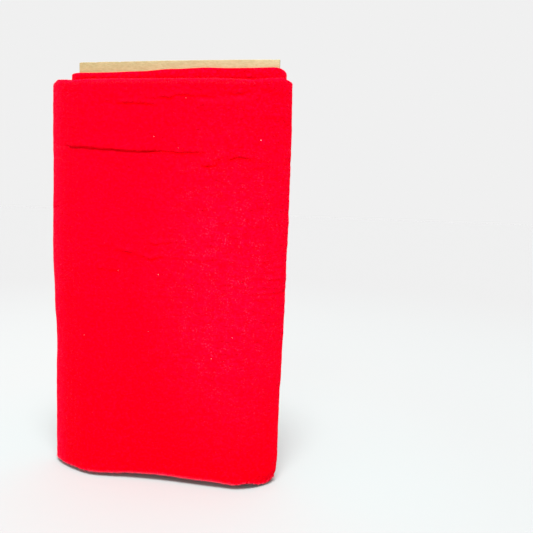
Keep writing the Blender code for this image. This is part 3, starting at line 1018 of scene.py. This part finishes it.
def make_board():
    left, right = BOARD_X - BOARD_WIDTH / 2, BOARD_X + BOARD_WIDTH / 2
    xs = np.concatenate([[left], np.linspace(left + END_ROUND, right - END_ROUND, BOARD_SECTIONS), [right]])
    drop = sum(d * bell(xs - x, w) for x, d, w in NICKS)
    tops = along(BOARD_TOP, xs) - drop + noise_field(xs, 0, 5, (3, 1, 1), high=0.12)
    insets = np.where((xs == left) | (xs == right), END_ROUND, 0.0)
    rings = np.array([[(x, *spot) for spot in board_section(*ring)] for x, *ring in zip(xs, tops, insets)])
    index = np.arange(rings.shape[0] * rings.shape[1]).reshape(rings.shape[:2])
    turn = np.roll(index, -1, axis=1)
    sides = np.stack([index[:-1], turn[:-1], turn[1:], index[1:]], -1).reshape(-1, 4).tolist()
    ends = [index[0].tolist(), index[-1][::-1].tolist()]
    mesh = bpy.data.meshes.new("bolt_board")
    mesh.from_pydata(to_scene(rings.reshape(-1, 3)).tolist(), [], sides + ends)
    mesh.materials.append(card)
    return add_object("bolt_board", mesh)


board = make_board()
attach(board, "root")
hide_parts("board")
print("board top, mm:", round(BOARD_HEIGHT))

# %% [markdown]
# ## Needles for the nap
# Close to, the cloth's outline is furry: short fibres stand off the folds. Blender's hair would draw them
# finely, but hair is lost when the model is exported. So each fibre is a tiny needle with three sides and a
# closed foot, a shape like any other, and all of them share one mesh.

# %% Needles
NAP_RED = (0.97, 0.008, 0.045, 1)
NAP_PALE = (1.0, 0.13, 0.22, 1)
THIRDS = (0, 2.0944, 4.1888)


def needle_mesh(name, roots, tips, widths, material):
    """Three-sided tapered needles from roots to tips, in scene metres, as one mesh."""
    axis = tips - roots
    side = np.cross(axis, np.array([0.31, 0.52, 0.79]))
    side /= np.linalg.norm(side, axis=1)[:, None]
    other = np.cross(axis / np.linalg.norm(axis, axis=1)[:, None], side)
    ring = [roots + widths[:, None] * (side * math.cos(a) + other * math.sin(a)) for a in THIRDS]
    points = np.stack([*ring, tips], 1).reshape(-1, 3)
    base = np.arange(len(roots)) * 4
    sides = [np.stack([base + i, base + (i + 1) % 3, base + 3], 1) for i in range(3)]
    faces = np.concatenate([*sides, np.stack([base + 2, base + 1, base], 1)])
    mesh = bpy.data.meshes.new(name)
    mesh.from_pydata(points.tolist(), [], faces.tolist())
    mesh.materials.append(material)
    piece = add_object(name, mesh)
    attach(piece, "root")
    print(name, "has", len(roots), "fibres")


def make_speckled(name, size, low, high):
    """A matt finish for something tiny, speckled from one colour to another."""
    f = Finish(name, roughness=0.9)
    f.shade(Base_Color=f.blend(f.noise(f.place(), size), low, high))
    return f.material


nap_finish = make_speckled("red nap", 0.004, NAP_RED, NAP_PALE)
print("finish:", nap_finish.name)

# %% [markdown]
# ## Nap on the folds and face
# Brushed fibres stand thickest where the cloth bends, at the ends and the upper folds, and they hang from
# the hem. Needles could be spread evenly over everything, but most would never show. So each patch of
# the cloth has its own number and length, and a fibre's place, lean and length are drawn at random inside it.
# A few longer fibres are listed where they break the outline.

# %% Nap
rng = np.random.default_rng(7)
LEAN = 0.45
SHORTEST_SHARE = 0.4
ROOT_SUNK = 0.06
TIP_ABOVE_FLOOR = 0.1
TOP_BEND_ROWS = 7


def surface_normals(grid):
    """Outward directions of the outer face at each place of a grid."""
    normal = np.cross(np.gradient(grid, axis=0), np.gradient(grid, axis=1))
    return normal / np.linalg.norm(normal, axis=-1)[..., None]


def grow_nap(grid, first_row, last_row, count, length, droop=0.0):
    """Roots and tips of fibres scattered over some rows of a cloth grid, hanging more with more droop."""
    grid = grid[..., :3]
    normals = surface_normals(grid)
    column = rng.uniform(0, grid.shape[0] - 1.001, count)
    row = rng.uniform(first_row, last_row - 0.001, count)
    i, j = column.astype(int), row.astype(int)
    s, t = (column - i)[:, None], (row - j)[:, None]
    spot = (grid[i, j] * (1 - s) + grid[i + 1, j] * s) * (1 - t) + grid[i, j + 1] * t
    lean = rng.normal(0, LEAN, (count, 3))
    reach = rng.uniform(SHORTEST_SHARE, 1.0, (count, 1)) * length
    direction = normals[i, j] + lean - np.array([0, 0, droop])
    direction /= np.linalg.norm(direction, axis=1)[:, None]
    root = spot + normals[i, j] * (PLY_THICK / 2 - ROOT_SUNK)
    tip = root + direction * reach
    tip[:, 2] = np.maximum(tip[:, 2], TIP_ABOVE_FLOOR)
    return to_scene(root), to_scene(tip)


face_end = len(face_rows())
inner_face_end = len(INNER_FACE_ROWS)
round_left = outer_grid[OUTER_COLUMNS[0]:sum(OUTER_COLUMNS[:2])]
round_right = outer_grid[sum(OUTER_COLUMNS[:3]):sum(OUTER_COLUMNS[:4])]
patches = [
    grow_nap(outer_grid, 0, face_end, 8000, 0.9),
    grow_nap(round_left, 0, face_end, 9000, 1.3),
    grow_nap(round_right, 0, face_end, 3000, 1.0),
    grow_nap(outer_grid[:2], 0, face_end, 900, 1.6),
    grow_nap(outer_grid, face_end - 3, face_end + TOP_BEND_ROWS, 10000, 1.1),
    grow_nap(outer_grid, 0, 2, 3000, 1.2),
    grow_nap(outer_grid, 0, 1, 6000, 2.1, droop=1.2),
    grow_nap(inner_grid, inner_face_end - 9, inner_face_end + TOP_BEND_ROWS, 6000, 1.0),
]
#    foot x, y, height, then how far the end stands off
LONG_FIBRES = np.array([
    [8.0, -15.2, 410.2, 0.6, -0.9, 3.0], [10.5, -15.0, 410.4, -2.3, -0.5, 1.8],
    [53.0, -26.4, 5.6, 1.8, -1.8, -2.2], [66.5, -26.4, 5.4, -1.9, -1.6, -1.6],
    [-58.0, -26.4, 4.9, 2.3, -0.8, -0.8], [24.0, -26.4, 5.8, 2.6, -0.8, -0.5],
])
long_roots = to_scene(LONG_FIBRES[:, :3])
patches.append((long_roots, long_roots + LONG_FIBRES[:, 3:] * MM))
nap_roots, nap_tips = (np.concatenate(ends) for ends in zip(*patches))
nap_widths = rng.uniform(0.025, 0.05, len(nap_roots)) * MM
needle_mesh("flannel_nap", nap_roots, nap_tips, nap_widths, nap_finish)

# %% [markdown]
# ## Lint
# Flannel sheds, and a few pale pellets of lint cling to the face. Spots in the finish could show them from
# afar, but each is a raised speck that throws a tiny shadow. So each is a small ball, squashed against the
# cloth and made lumpy by noise. A ray shot at the face finds where the cloth is under it.

# %% Lint
#    x, height, size
LINT = [
    (-5.2, 345.5, 0.8), (97.6, 343.7, 1.0), (0.6, 213.3, 1.0), (25.7, 381.2, 0.55), (-41.3, 215.1, 0.5),
    (-77.6, 147.4, 0.5), (55.7, 133.3, 0.6), (76.1, 155.7, 0.5), (-9.1, 155.7, 0.45), (19.1, 335.1, 0.5)]
LINT_PINK = (0.9, 0.3, 0.35, 1)
LINT_PALE = (1.0, 0.75, 0.75, 1)
# Half the width and half the height are shares of a pellet's size. Half its thickness is in millimetres.
LINT_WIDE, LINT_TALL, LINT_THICK = 0.5, 0.36, 0.22
LINT_CLEAR = 0.1
LUMP_HEIGHT, LUMPS_PER_METRE = 0.09, 2500
LUMP_SEED = 7


def face_tree():
    """The outer face as a search tree, so that small things can be set on it."""
    face = outer_grid[:, :face_end, :3]
    return BVHTree.FromPolygons(to_scene(face.reshape(-1, 3)).tolist(), grid_faces(*face.shape[:2]).tolist())


def make_lint():
    tree = face_tree()
    lump = bmesh.new()
    for x, height, size in LINT:
        before_face = Vector(to_scene((x, -60, height)))
        spot = tree.ray_cast(before_face, Vector((0, 1, 0)))[0]
        spot.y -= (PLY_THICK / 2 + LINT_CLEAR) * MM
        turned = Matrix.Translation(spot) @ Matrix.Rotation(rng.uniform(0, 3), 4, "Y")
        flat = Matrix.Diagonal((LINT_WIDE * size * MM, LINT_THICK * MM, LINT_TALL * size * MM, 1))
        bmesh.ops.create_icosphere(lump, subdivisions=2, radius=1.0, matrix=turned @ flat)
    # Vector noise starts from the clock unless it has a seed, and the lumps have to be the same each run.
    noise.seed_set(LUMP_SEED)
    for vertex in lump.verts:
        vertex.co += noise.noise_vector(vertex.co * LUMPS_PER_METRE) * LUMP_HEIGHT * MM
    mesh = bpy.data.meshes.new("flannel_lint")
    lump.to_mesh(mesh)
    lump.free()
    mesh.materials.append(make_speckled("pale lint", 0.0006, LINT_PINK, LINT_PALE))
    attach(add_object("flannel_lint", mesh), "root")
    print("pellets of lint:", len(LINT))


make_lint()

# %% [markdown]
# ## The floor
# The bolt stands on a plain pale floor, so that nothing beside it draws the eye. A small sheet would show a
# line behind the bolt where it ends. This one is large enough to reach the horizon, and its tone eases with
# distance to the tone of the surround, so floor and surround run into each other. Close to the bolt it has a
# painted cyan tint, which cancels the red light bounced from the cloth.

# %% Floor
# A slight cyan tint painted close to the bolt, to cancel the red light bounced from the cloth.
FLOOR_BOUNCE_COUNTERTINT = (0.424, 0.458, 0.456, 1)
FLOOR_LEFT = (0.434, 0.446, 0.444, 1)
FLOOR_RIGHT = (0.420, 0.433, 0.432, 1)
FLOOR_FAR = (0.405, 0.405, 0.405, 1)
FLOOR_SIZE = 30
# Each pair says where a tone starts to change and where the next one is full, in metres.
LEFT_TO_RIGHT = (-0.25, 0.35)
COUNTERTINT_TO_PLAIN = (0.12, 0.45)
PLAIN_TO_FAR = (0.3, 1.6)


def make_floor():
    f = Finish("pale floor", roughness=0.7)
    place = f.place()
    distance = f.length(place)
    plain = f.blend(f.ramp(f.part(place, 0), *LEFT_TO_RIGHT), FLOOR_LEFT, FLOOR_RIGHT)
    # Painted cyan tint close to the bolt, against the red bounced light.
    near = f.blend(f.ramp(distance, *COUNTERTINT_TO_PLAIN, eased=True), FLOOR_BOUNCE_COUNTERTINT, plain)
    f.shade(Base_Color=f.blend(f.ramp(distance, *PLAIN_TO_FAR, eased=True), near, FLOOR_FAR))
    bpy.ops.mesh.primitive_plane_add(size=FLOOR_SIZE, location=(0, 0, 0))
    floor = bpy.context.object
    floor.name = "floor"
    floor.data.materials.append(f.material)
    print("floor, m:", FLOOR_SIZE)


make_floor()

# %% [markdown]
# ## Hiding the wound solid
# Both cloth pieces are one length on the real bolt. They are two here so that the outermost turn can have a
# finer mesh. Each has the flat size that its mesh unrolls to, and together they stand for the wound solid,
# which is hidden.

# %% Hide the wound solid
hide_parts("roll")
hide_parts("roll")
